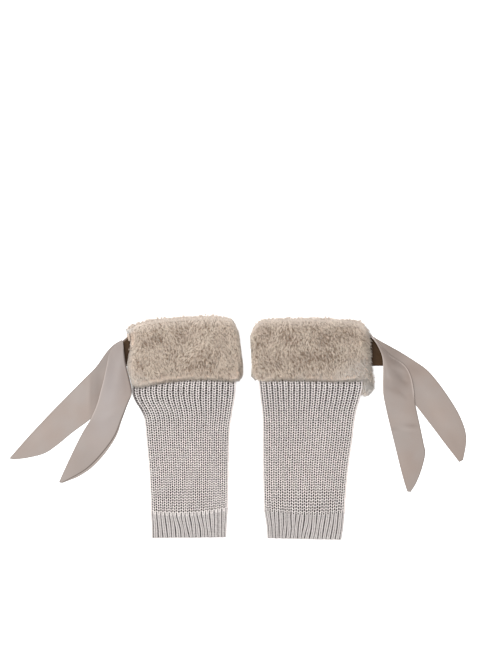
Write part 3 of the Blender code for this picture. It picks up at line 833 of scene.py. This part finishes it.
def arm_arrays(rows, arms, ribs, bottoms, height, rng):
    """Spine, half widths and half heights of every V stitch's two arms on those ribs and rows, and
    how light they are painted: painted shade towards the cuff and at the left knit's outer fold."""
    rib, bottom, hand = np.meshgrid(ribs + 0.5, bottoms, (-1.0, 1.0), indexing="ij")
    rib, bottom, hand = (item.reshape(-1, 1) for item in (rib, bottom, hand))
    out = hand * arms.out * np.interp(bottom, SPREAD_Y, SPREAD)
    out = out + rng.normal(0, OUT_JITTER, rib.shape)
    up = arms.up + rng.normal(0, UP_JITTER, rib.shape)
    along = bottom + up * height
    depth = arms.depth + rib_depth(rows, rib + out, along) * 0.8
    depth = depth + rng.uniform(-DEPTH_JITTER, DEPTH_JITTER, rib.shape)
    spine = leg_points(rows, rib + out, along, depth)
    turn = np.radians(np.interp(np.mod(rib + out, AROUND), FLAT_END, TURN))
    up_way = np.stack([np.cos(turn), np.zeros_like(turn), np.sin(turn)], axis=-1)
    pitch = np.linalg.norm(leg_points(rows, rib + 0.5, bottom, 0.0)
                           - leg_points(rows, rib - 0.5, bottom, 0.0), axis=-1)
    side = unit(np.cross(np.gradient(spine, axis=1), up_way))
    side = side * (pitch * arms.half * np.interp(bottom, SPREAD_Y, BROAD))[..., None]
    yarn_painted_light = np.interp(bottom, SPREAD_Y, CUFF_PAINTED_SHADE)
    if rows.left[0] < 0:
        # Painted shade: the left knit's outer fold is drawn darker.
        dusk = np.interp(np.mod(rib + FOLD_RIBS, AROUND), FOLD_AT, FOLD_PAINTED_SHADE)
        yarn_painted_light = yarn_painted_light * (1 - dusk * np.interp(bottom, FOLD_Y, FOLD_SHARE))
    return spine, side, up_way * arms.tall[:, None], yarn_painted_light


def make_stitches(side, knit, material):
    """The stitches on the ground, a row of V's up each rib, finer in the hem, with its edge."""
    rng = np.random.default_rng(YARN_SEED)
    rows = spline(side.leg, LEG_STEPS)
    start = rows.left_y[0]
    hem_top = side.leg[2].left_y
    row = knit.row_height / MM
    hem_row = knit.hem_row_height / MM
    every = np.arange(AROUND)
    lower = np.arange(RIBS + FOLD_RIBS, 2 * RIBS + FOLD_RIBS)
    upper = np.setdiff1d(every, lower)
    body_rows = np.arange(hem_top + 0.9 * row, CUFF_END, row)
    hem_rows = np.arange(start + 0.9 * hem_row, hem_top + 1.3 * hem_row, hem_row)
    sets = (
        ("stitches_", BODY_ARM, 5, upper, body_rows, row, 1.0),
        ("stitches_back_", BACK_ARM, 4, lower, body_rows, row, BACK_BRIGHT),
        ("hem_stitches_", HEM_ARM, 4, every, hem_rows, hem_row, HEM_BRIGHT),
        ("hem_edge_", EDGE_ARM, 6, every, np.array([start + 0.9]), hem_row, HEM_BRIGHT),
    )
    made = []
    for name, arm_table, corners, ribs, bottoms, height, share in sets:
        arms = columns_of(arm_table)
        spine, side_way, lift, yarn_painted_light = arm_arrays(rows, arms, ribs, bottoms, height, rng)
        shade = np.repeat(rng.random((len(spine), 1)), spine.shape[1], axis=1)
        # The depth value is painted shade: darker deeper in an arm, towards the cuff and at the
        # left fold; the hem's and the back's yarn are drawn darker too.
        depth = np.interp(arms.depth, DEEP, DEEP_PAINTED_SHADE) * yarn_painted_light * share
        made.append(strands(name + side.name, spine, side_way, lift, corners, False, material,
                            {"shade": shade, "depth": depth}))
    return made


# ---- The plush cuffs ----


def node_tree(node):
    """A node's faces, to cast rays on."""
    data = bpy.data.objects[node].data
    return BVHTree.FromPolygons([v.co for v in data.vertices],
                                [tuple(p.vertices) for p in data.polygons])


def whole_mesh(node):
    """A node's own mesh with its loose triangles joined."""
    mesh = bmesh.new()
    mesh.from_mesh(bpy.data.objects[node].data)
    bmesh.ops.remove_doubles(mesh, verts=mesh.verts, dist=1e-6)
    bmesh.ops.join_triangles(mesh, faces=mesh.faces, angle_face_threshold=math.pi,
                             angle_shape_threshold=math.pi)
    mesh.normal_update()
    return mesh


def make_backing(side, plush, material):
    """The plush's backing: the cuff's solid with its outer face drawn in by the pile."""
    mesh = whole_mesh("cuff_" + side.name)
    knit = node_tree("knit_" + side.name)
    moves = []
    for vert in mesh.verts:
        clear = knit.find_nearest(vert.co)[3]
        share = min(1.0, max(0.0, (clear - BACKING_CLEAR) / BACKING_FADE))
        moves.append(vert.normal * plush.pile * share)
    for vert, move in zip(mesh.verts, moves):
        vert.co -= move
    backing = finish_mesh(f"cuff_{side.name}_backing", mesh, material)
    smooth = backing.modifiers.new("Smooth", "SUBSURF")
    smooth.levels = smooth.render_levels = 1
    return backing


def surface_points(piece, rng, spacing):
    """Points spread over a piece's surface that far apart, with the normals there, in
    millimetres."""
    finished = piece.evaluated_get(bpy.context.evaluated_depsgraph_get())
    data = finished.to_mesh()
    data.calc_loop_triangles()
    places, normals = (np.empty(len(data.vertices) * 3) for _ in range(2))
    data.vertices.foreach_get("co", places)
    data.vertices.foreach_get("normal", normals)
    corners = np.empty(len(data.loop_triangles) * 3, dtype=int)
    data.loop_triangles.foreach_get("vertices", corners)
    finished.to_mesh_clear()
    places = places.reshape(-1, 3) / MM
    normals = normals.reshape(-1, 3)
    corners = corners.reshape(-1, 3)
    a, b, c = (places[corners[:, i]] for i in range(3))
    areas = np.linalg.norm(np.cross(b - a, c - a), axis=1) / 2
    tries = int(areas.sum() / spacing ** 2 * 3)
    chosen = rng.choice(len(areas), size=tries, p=areas / areas.sum())
    first = np.sqrt(rng.random((tries, 1)))
    second = rng.random((tries, 1))
    weights = np.concatenate([1 - first, first * (1 - second), first * second], axis=1)
    found, ways = (sum(weights[:, i, None] * part[corners[chosen, i]] for i in range(3))
                   for part in (places, normals))
    cells = np.floor(found / spacing).astype(int)
    _, kept = np.unique(cells, axis=0, return_index=True)
    kept.sort()
    return found[kept], unit(ways[kept])


def nap(places):
    """The way the pile lies at each place: down the cuff, in slow swirls."""
    swirl = np.array([noise.noise_vector(Vector(place) * 0.03) for place in places])
    shift = Vector((40, 0, 0))
    fine = np.array([noise.noise_vector(Vector(place) * 0.11 + shift) for place in places])
    return (swirl * 1.15 + fine * 0.5) * np.array((1.0, 1.0, 0.35)) + np.array((0.2, -1.0, 0.0))


def nearest_seed(places, lie, seeds):
    """The number of each place's nearest seed, where a way along the nap counts for less."""
    nearest = np.empty(len(places), dtype=int)
    order = np.argsort(places[:, 0])
    for start in range(0, len(places), 400):
        some = order[start:start + 400]
        part, way = places[some], lie[some]
        close = np.flatnonzero((seeds[:, 0] > part[0, 0] - 9) & (seeds[:, 0] < part[-1, 0] + 9))
        near = seeds[close]
        apart = (part ** 2).sum(axis=1)[:, None] + (near ** 2).sum(axis=1) - 2 * part @ near.T
        along = (part * way).sum(axis=1)[:, None] - way @ near.T
        nearest[some] = close[np.argmin(apart - LONG_LOCK * along ** 2, axis=1)]
    return nearest


def wall_under(tips, ways, outside):
    """How thick the cuff's wall is under each tip."""
    room = []
    for tip, way in zip(tips, ways):
        hit = outside.ray_cast(Vector(tip - way * 0.3) * MM, Vector(-way), DEEPEST * MM)
        room.append(DEEPEST if hit[3] is None else hit[3] / MM + 0.3)
    return np.array(room)


def draw_together(tips, ways, nearest, locks, strength, rng):
    """Tips moved along the face towards the middle of their locks."""
    sums = np.zeros((locks, 3))
    np.add.at(sums, nearest, tips)
    centre = sums / np.maximum(np.bincount(nearest, minlength=locks), 1)[:, None]
    pull = strength * rng.uniform(0.4, 1.6, (len(tips), 1))
    move = along_face((centre[nearest] - tips) * pull, ways)
    far = np.linalg.norm(move, axis=1, keepdims=True)
    move *= np.minimum(1.0, LONGEST_PULL / np.maximum(far, 0.01))
    return tips + move + rng.normal(0, TIP_SCATTER, tips.shape)


def sink_depth(ways, nearest, locks, lock_depth, rng):
    """How deep each tip lies: some locks lower than others, and an even upper rim."""
    calm = np.interp(ways[:, 1], (-0.1, 0.5), (1.0, 0.0))
    sink = (lock_depth * (rng.random(locks) ** 1.5)[nearest] - 0.2) * calm
    sink += UPPER_SINK * (1 - calm)
    standing = rng.random(len(ways)) < STRAY_HAIRS
    return sink - standing * rng.uniform(0.3, 1.3, len(ways)) * calm


def hang_share(tips, ways, nearest, locks, rng):
    """How far each tip of the lower rim hangs over the knit, in uneven tongues."""
    low = np.interp(tips[:, 2], (15.5, 22.0), (1.0, 0.1)) * (tips[:, 2] > FRONT_FROM)
    hang = (0.3 + 0.7 * rng.random(locks))[nearest] * np.clip(-1.6 * ways[:, 1] - 0.3, 0, 1) * low
    return hang * [max(0.0, 0.72 + 0.6 * noise.noise(Vector((x * 0.15, 3.0, 0.0)))
                       + 1.5 * noise.noise(Vector((x * 0.37, 9.0, 0.0)))) for x in tips[:, 0]]


def bulge(places, ways, side):
    """How far the pile stands out past the cuff's solid, or back from it, at its outer edge and
    corners."""
    moved = np.zeros_like(places)
    if side.name == "left":
        outward = np.clip(-1.5 * ways[:, 0], 0, 1) * np.interp(places[:, 2], (7, 12), (0, 1))
        moved[:, 0] = outward * np.interp(places[:, 1], LEFT_EDGE_Y, LEFT_EDGE_SHIFT)
    else:
        for x, y, shift_x, shift_y in RIGHT_CORNERS:
            near = np.exp(-((places[:, 0] - x) ** 2 + (places[:, 1] - y) ** 2) / 90.0)
            near = near * (np.abs(ways[:, 2]) < 0.9)
            moved[:, 0] += near * shift_x
            moved[:, 1] += near * shift_y
    return moved


def patch_sum(places, patches):
    """The patches' shares summed at each place."""
    total = np.zeros(len(places))
    for x, y, radius, share in patches:
        away = np.hypot(places[:, 0] - x, places[:, 1] - y)
        total = total + share * np.exp(-(away / radius) ** 2)
    return total


def rim_light_share(places, side):
    """How near a place is to the cuff's upper or lower rim or left outer edge, where the pile gets
    painted light.
    """
    high = np.interp(places[:, 0], *zip(*side.top))
    top = np.interp(places[:, 1] - high, (-18, -4), (0, 1))
    bottom = np.interp(places[:, 1], (58, 84), (0.45, 0))
    outer = np.zeros(len(places))
    if side.name == "left":
        outer = np.interp(places[:, 0], (-172, -160), (0.6, 0)) * (places[:, 1] < 140)
        corner = np.hypot(places[:, 0] + 173, places[:, 1] - 152)
        outer = np.maximum(outer, np.interp(corner, (4, 11), (1.3, 0)))
    return np.maximum(np.maximum(top, bottom), outer)


def painted_shade_share(places, ways, side):
    """How much painted shade a place gets: some at every upright face that looks up the cuff, and
    much low down beside the left cuff's outer edge."""
    turned = np.interp(ways[:, 2], (-0.1, 0.55), (0.38, 0)) * np.clip(1.2 * ways[:, 1] + 0.25, 0, 1)
    if side.name == "right":
        return turned
    low = np.interp(places[:, 2], (8, 12), (0.85, 0))
    return np.maximum(low * (ways[:, 0] < -0.2) * (places[:, 1] < 125), turned)


def tuft_shades(tips, ways, seeds, nearest, side, rng):
    """The material's values of each tuft."""
    # Dark locks are painted shade of the partings, with more of them in the shade patches; the
    # rims' painted light takes their place.
    chance = np.interp(seeds[:, 1], (50, 66), (0.22, 0.12)) + patch_sum(seeds, side.patches)
    dark = rng.random(len(seeds)) < np.minimum(chance * side.more_dark, MOST_DARK)
    shade = np.where(dark, rng.uniform(0.0, 0.3, len(seeds)), rng.uniform(0.75, 1.0, len(seeds)))
    rim = rim_light_share(tips, side)
    shade = np.maximum(shade[nearest], 0.85 * rim ** 1.5) * rng.uniform(0.85, 1.0, len(tips))
    return {"shade": shade, "rim": rim, "grey": np.minimum(patch_sum(tips, side.grey), 1.0),
            "dusk": painted_shade_share(tips, ways, side)}


def make_pile(side, plush, material):
    """The pile on a cuff, a fine front and a coarser back. Its tips lie on the cuff's own face,
    and it is drawn together in long locks."""
    made = []
    pile = plush.pile / MM
    outside = node_tree("cuff_" + side.name)
    knit = node_tree("knit_" + side.name)
    face = finish_mesh("face", whole_mesh("cuff_" + side.name), material)
    sets = (("pile", plush.front_spacing, True), ("back_pile", plush.back_spacing, False))
    for name, spacing, front in sets:
        rng = np.random.default_rng(plush.seed + len(made) + len(side.name))
        tips, ways = surface_points(face, rng, spacing / MM)
        kept = ((tips[:, 2] > FRONT_FROM) | (ways[:, 2] > 0.0)) == front
        kept &= np.array([knit.find_nearest(Vector(tip) * MM)[3] > KNIT_CLEAR * MM for tip in tips])
        tips, ways = tips[kept], ways[kept]
        count = len(tips)
        seeds = surface_points(face, rng, plush.lock / MM)[0]
        locks = len(seeds)
        lie = unit(along_face(nap(tips), ways))
        nearest = nearest_seed(tips, lie, seeds)
        stray = rng.normal(0, LOCK_STRAY, (locks, 3))[nearest]
        lie += along_face(stray + rng.normal(0, TUFT_STRAY, tips.shape), ways)
        tall = np.minimum(pile, WALL_SHARE * wall_under(tips, ways, outside))
        tall *= rng.uniform(0.9, 1.05, count)
        lean = plush.lean / MM * tall / pile * (0.35 + 0.65 * np.abs(ways[:, 2]))
        roots = tips - ways * tall[:, None] - lie * lean[:, None]
        tips = draw_together(tips, ways, nearest, locks, plush.pull, rng)
        sink = sink_depth(ways, nearest, locks, plush.lock_depth / MM, rng)
        tips -= ways * (sink * tall / pile)[:, None]
        hang = hang_share(tips, ways, nearest, locks, rng)
        tips[:, 1] -= hang * plush.fringe / MM
        tips[:, 2] -= np.clip(hang, 0, 1) * np.maximum(tips[:, 2] - TONGUE_FLOOR, 0.0) * 0.7
        tips += bulge(tips, ways, side)
        if side.name == "right":
            spike = (rng.random(locks) ** 2)[nearest] * np.clip(1.5 * ways[:, 0], 0, 1)
            tips[:, 0] += spike * np.interp(tips[:, 2], (6, 11), (0, SPIKE))
        tips[:, 2] = np.maximum(tips[:, 2], LOWEST_TIP)
        roots[:, 2] = np.clip(roots[:, 2], LOWEST_ROOT, HIGHEST_ROOT)
        way = unit(tips - roots)
        helper = np.where(np.abs(way[:, 2:]) < 0.9, (0.0, 0.0, 1.0), (1.0, 0.0, 0.0))
        first = unit(np.cross(way, helper))
        second = np.cross(way, first)
        spin = rng.uniform(0, 2 * math.pi, (count, 1))
        half = plush.tuft / MM * rng.uniform(0.75, 1.25, (count, 1))
        one = (first * np.cos(spin) + second * np.sin(spin)) * half
        two = (first * np.sin(spin) - second * np.cos(spin)) * half
        values = {"tone": np.tile(np.array((0.0, 1.0)), (count, 1))}
        for label, share in tuft_shades(tips, ways, seeds, nearest, side, rng).items():
            values[label] = np.repeat(share[:, None], 2, axis=1)
        spine = np.stack([roots, tips], axis=1)
        sizes = np.array((1.0, 0.0))[None, :, None]
        made.append(strands(f"cuff_{side.name}_{name}", spine, one[:, None] * sizes,
                            two[:, None] * sizes, 3, True, material, values))
    bpy.data.objects.remove(face)
    return made


# ---- Ribbons ----


def crease_sum(creases, x, y, field):
    """The creases' heights, or another of their fields, summed at a point of a ribbon."""
    total = 0.0
    for crease in creases:
        run = Vector((crease.end_x - crease.x, crease.end_y - crease.y))
        span = run.length
        share = ((x - crease.x) * run.x + (y - crease.y) * run.y) / span ** 2
        away = abs((x - crease.x) * run.y - (y - crease.y) * run.x) / span
        if -CREASE_END < share < 1 + CREASE_END:
            taper = math.cos(math.pi * (share - 0.5) / (1 + 2 * CREASE_END))
            total += getattr(crease, field) * taper * math.exp(-(away / crease.half) ** 2)
    return total


def edge_light(edges, v, from_left, from_right):
    """How much painted light a ribbon's edge lines give a point that far from its edges; below 0 it
    is painted shade.
    """
    total = 0.0
    for edge in edges:
        away = from_right if edge.right else from_left
        inside = min(v - edge.start, edge.end - v)
        window = min(1.0, max(0.0, inside / 0.05 + 0.5))
        total += edge.light * window * math.exp(-(away / edge.half) ** 2)
    return total


def make_ribbon(ribbon, satin, material):
    """A ribbon's tail: two layers of satin, gathered at the root and cut slanting at the tip."""
    rows = spline(ribbon.rows, RIBBON_STEPS)
    layer = satin.layer / MM
    gap = satin.gap / MM

    def middle(u, v):
        part = row_at(rows, v)
        share = 0.5 - 0.5 * math.cos(math.pi * u)
        run_x, run_y = part.right_x - part.left_x, part.right_y - part.left_y
        x, y = part.left_x + run_x * share, part.left_y + run_y * share
        return part, share, x, y, math.hypot(run_x, run_y)

    def surface(u, v, lift, slip):
        part, share, x, y, width = middle(u, v)
        edge = min(share, 1 - share) * width
        z = part.left_z + (part.right_z - part.left_z) * share
        z += part.bow * 4 * share * (1 - share)
        crease = max(0.0, 0.25 + crease_sum(ribbon.creases, x, y, "height"))
        z = max(z, 0.0) + LIFT + crease * min(1.0, edge / CALM_EDGE)
        hem = HEM_RISE * math.exp(-((edge - HEM_AT) / HEM_HALF) ** 2)
        fade = min(1.0, width / 20.0)
        if ribbon.slip_x > 1.0:    # a wide slip starts halfway down the tail
            fade *= min(1.0, max(0.0, 4.0 * v - 1.9))
        slip *= fade
        return x + ribbon.slip_x * slip, y + ribbon.slip_y * slip, z + lift + hem * fade

    # Painted light and shade from the creases and the edge lines.
    def light(u, v):
        _, share, x, y, width = middle(u, v)
        lines = edge_light(ribbon.edges, v, share * width, (1 - share) * width)
        return crease_sum(ribbon.creases, x, y, "light") + lines

    def cool(u, v):
        return crease_sum(ribbon.cool, *middle(u, v)[2:4], "light")

    mesh = grid_sheet(RIBBON_ACROSS, len(rows.bow) - 1,
                      lambda u, v: surface(u, v, gap + 1.5 * layer, 0.0), light=light, cool=cool)
    under = grid_sheet(RIBBON_ACROSS, len(rows.bow) - 1,
                       lambda u, v: surface(u, v, layer / 2, 1.0), light=plain, cool=plain)
    data = bpy.data.meshes.new("under")
    under.to_mesh(data)
    under.free()
    mesh.from_mesh(data)
    bpy.data.meshes.remove(data)
    return thicken(ribbon.name, mesh, material, satin.layer)


def plain(_u, _v):
    """No shade anywhere."""
    return 0.0


def make_strap(side, satin, material):
    """The ribbon's root in painted shade, lying flat and gathered a little towards its upper end.
    """
    rows = columns_of(side.strap)

    def place(u, v):
        part = row_at(rows, u)
        swell = min(1.0, 4 * v * (1 - v) * 2)
        ripple = STRAP_RIPPLE * math.sin(v * 5 * math.pi + u * 2.0) * swell
        return part.x, part.low + (part.high - part.low) * v, STRAP_Z + ripple

    # Painted light along the left strap's upper edge.
    def light(_u, v):
        return float(side.name == "left" and v > PALE_FROM)

    mesh = grid_sheet(12, 24, place, light=light, cool=plain)
    return thicken(f"strap_{side.name}_satin", mesh, material, satin.layer)


# ---- Operators ----


class LEGWARMERS_OT_stage(bpy.types.Operator):
    """Set the white table, the soft light and the camera straight above"""

    bl_idname = "leg_warmers.stage"
    bl_label = "Stage"

    def execute(self, context):
        stage = context.scene.leg_warmer_stage
        mesh = bmesh.new()
        bmesh.ops.create_grid(mesh, x_segments=2, y_segments=2, size=TABLE_HALF)
        table = finish_mesh("table", mesh, floor_material(stage.glow))
        table.location.z = -TABLE_DROP

        key = bpy.data.lights.new("key", "AREA")
        key.shape = "DISK"
        key.size = KEY_WIDTH
        key.energy = stage.key
        lamp = bpy.data.objects.new("key", key)
        spot = Vector(KEY_PLACE)
        aim = spot.to_track_quat("Z", "Y").to_matrix().to_4x4()
        lamp.matrix_world = Matrix.Translation(spot) @ aim
        context.collection.objects.link(lamp)

        world = context.scene.world or bpy.data.worlds.new("studio")
        context.scene.world = world
        world.use_nodes = True
        sky = world.node_tree.nodes["Background"]
        sky.inputs["Color"].default_value = (1.0, 1.0, 1.0, 1.0)
        sky.inputs["Strength"].default_value = stage.sky
        context.scene.view_settings.view_transform = "Standard"

        lens = bpy.data.cameras.new("camera")
        lens.lens = LENS
        camera = bpy.data.objects.new("camera", lens)
        camera.location = (*VIEW_CENTRE, stage.distance)
        context.collection.objects.link(camera)
        context.scene.camera = camera
        return {"FINISHED"}


class LEGWARMERS_OT_knit(bpy.types.Operator):
    """Knit both legs, with their stitches and hems"""

    bl_idname = "leg_warmers.knit"
    bl_label = "Knit Legs"

    def execute(self, context):
        knit = context.scene.leg_warmer_knit
        yarn = yarn_material(knit)
        # The ground under the stitches is drawn in that painted shade colour.
        ground = deep_material("knit_ground", knit.ground_shade_color, 0.75, 1.3, 700.0, 1800.0, 3.0)
        for side in PAIR:
            shell = make_shell(side, knit, ground)
            stitches = make_stitches(side, knit, yarn)
            for piece in (shell, *stitches):
                seat(piece, "knit", "knit_" + side.name)
        return {"FINISHED"}


class LEGWARMERS_OT_cuffs(bpy.types.Operator):
    """Make both plush cuffs"""

    bl_idname = "leg_warmers.cuffs"
    bl_label = "Plush Cuffs"

    def execute(self, context):
        plush = context.scene.leg_warmer_plush
        pile = pile_material(plush)
        # The backing is drawn in the roots' painted shade, darker still.
        base = deep_material("plush_backing", plush.root_shade_color, 0.5, 0.8, 900.0, 1500.0, 2.0)
        noise.seed_set(plush.seed)    # or noise_vector changes with the clock
        for side in PAIR:
            backing = make_backing(side, plush, base)
            tufts = make_pile(side, plush, pile)
            for piece in (backing, *tufts):
                seat(piece, "fur", "cuff_" + side.name)
        return {"FINISHED"}


class LEGWARMERS_OT_ribbons(bpy.types.Operator):
    """Make the ribbons' straps and tails"""

    bl_idname = "leg_warmers.ribbons"
    bl_label = "Ribbons"

    def execute(self, context):
        satin = context.scene.leg_warmer_satin
        # The satin's painted highlights take twice its cool colour.
        pale = satin_material("satin", satin.satin_color, satin.cool_color, satin.grey_color,
                              scaled(satin.cool_color, 2.0), 0.3)
        # The strap is drawn dark as painted shade, with painted light in the tails' colour.
        dark = satin_material("strap_satin", satin.strap_shade_color, satin.strap_shade_color,
                              satin.strap_shade_color, satin.satin_color, 0.08)
        for side in PAIR:
            strap = make_strap(side, satin, dark)
            seat(strap, "strap", "strap_" + side.name)
            for ribbon in side.ribbons:
                tail = make_ribbon(ribbon, satin, pale)
                seat(tail, "satin", ribbon.node)
        return {"FINISHED"}


OPERATORS = (LEGWARMERS_OT_stage, LEGWARMERS_OT_knit, LEGWARMERS_OT_cuffs, LEGWARMERS_OT_ribbons)
SETTINGS = {
    "leg_warmer_stage": StageSettings,
    "leg_warmer_knit": KnitSettings,
    "leg_warmer_plush": PlushSettings,
    "leg_warmer_satin": SatinSettings,
}


class LEGWARMERS_PT_panel(bpy.types.Panel):
    """Lists the steps in their order, each with its settings"""

    bl_idname = "LEGWARMERS_PT_panel"
    bl_label = "Leg Warmers"
    bl_space_type = "VIEW_3D"
    bl_region_type = "UI"
    bl_category = "Leg Warmers"

    def draw(self, context):
        for operator, (place, kind) in zip(OPERATORS, SETTINGS.items()):
            box = self.layout.box()
            box.operator(operator.bl_idname)
            for name in kind.__annotations__:
                box.prop(getattr(context.scene, place), name)


CLASSES = (*SETTINGS.values(), *OPERATORS, LEGWARMERS_PT_panel)


def register():
    for item in CLASSES:
        bpy.utils.register_class(item)
    for name, kind in SETTINGS.items():
        setattr(bpy.types.Scene, name, PointerProperty(type=kind))


def unregister():
    for name in SETTINGS:
        delattr(bpy.types.Scene, name)
    for item in reversed(CLASSES):
        bpy.utils.unregister_class(item)


def main():
    register()
    bpy.ops.leg_warmers.stage()
    bpy.ops.leg_warmers.knit()
    bpy.ops.leg_warmers.cuffs()
    bpy.ops.leg_warmers.ribbons()


if __name__ == "__main__":
    main()
